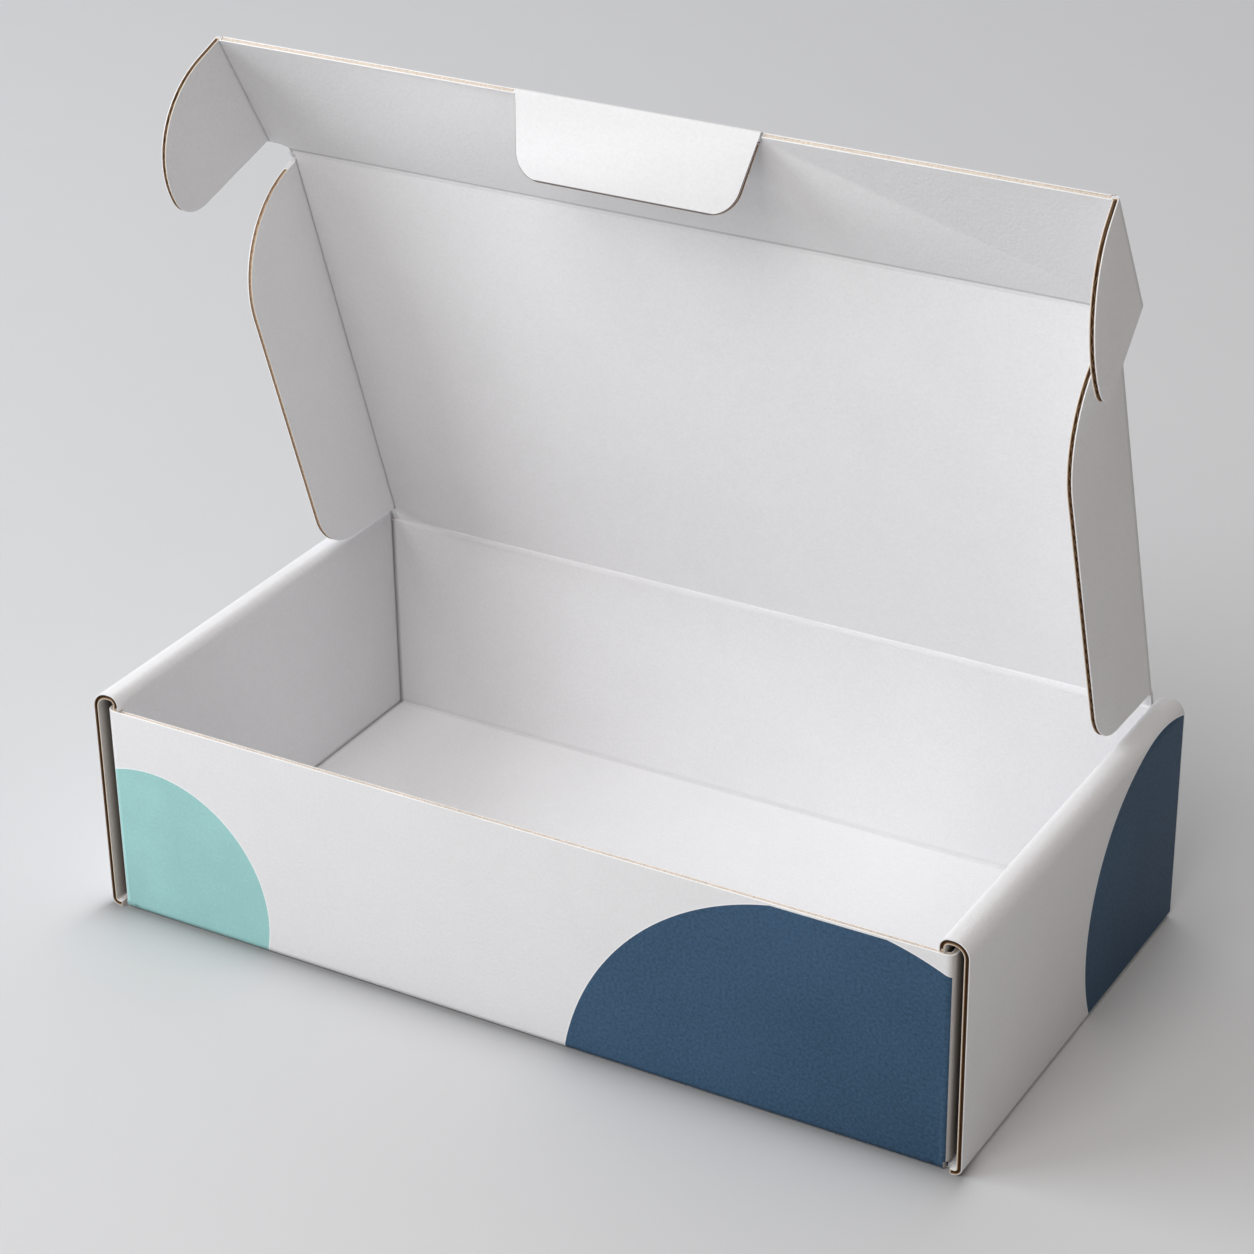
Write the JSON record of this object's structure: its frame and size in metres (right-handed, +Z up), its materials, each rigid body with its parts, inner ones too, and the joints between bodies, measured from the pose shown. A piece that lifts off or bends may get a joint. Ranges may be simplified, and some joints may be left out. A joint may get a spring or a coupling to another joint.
{
  "type": "corrugated mailer box",
  "caption": "Shallow corrugated mailer box, lid open, with rolled double side walls, lid side flaps, and a tuck flap with ears and a folded tab.",
  "frame": {"origin": "centre of the tray's underside, on the surface the box stands on", "axes": "+Z up, -Y towards the front panel, +X to the right as seen from the front"},
  "size_m": [0.2556, 0.13, 0.2216],
  "materials": {
    "board": "matte"
  },
  "bodies": {
    "tray": {"tray": "board"},
    "lid": {"lid": "board"},
    "side_flap_left": {"side_flap_left": "board"},
    "side_flap_right": {"side_flap_right": "board"},
    "tuck_flap": {"tuck_flap": "board"},
    "ear_left": {"ear_left": "board"},
    "ear_right": {"ear_right": "board"},
    "lock_tab": {"lock_tab": "board"}
  },
  "joints": [
    {"name": "lid_hinge", "type": "hinge", "parent": "tray", "child": "lid", "pos_m": [0, 0.06425, 0.062], "axis": [1, 0, 0], "range_deg": [-107.8, 72.2]},
    {"name": "side_flap_left_fold", "type": "hinge", "parent": "lid", "child": "side_flap_left", "pos_m": [-0.11565, 0.04433, 0.12405], "axis": [0, -0.3057, 0.9521], "range_deg": [-90, 8]},
    {"name": "side_flap_right_fold", "type": "hinge", "parent": "lid", "child": "side_flap_right", "pos_m": [0.11565, 0.04433, 0.12405], "axis": [0, 0.3057, -0.9521], "range_deg": [-90, 8]},
    {"name": "tuck_flap_fold", "type": "hinge", "parent": "lid", "child": "tuck_flap", "pos_m": [0, 0.0244, 0.18611], "axis": [1, 0, 0], "range_deg": [-12, 78]},
    {"name": "ear_left_fold", "type": "hinge", "parent": "tuck_flap", "child": "ear_left", "pos_m": [-0.12225, 0.01446, 0.20347], "axis": [0, -0.497, 0.8678], "range_deg": [-82, 8]},
    {"name": "ear_right_fold", "type": "hinge", "parent": "tuck_flap", "child": "ear_right", "pos_m": [0.12225, 0.01446, 0.20347], "axis": [0, 0.497, -0.8678], "range_deg": [-82, 8]},
    {"name": "lock_tab_fold", "type": "hinge", "parent": "tuck_flap", "child": "lock_tab", "pos_m": [0, 0.00452, 0.22082], "axis": [-1, 0, 0], "range_deg": [-20, 130]}
  ]
}
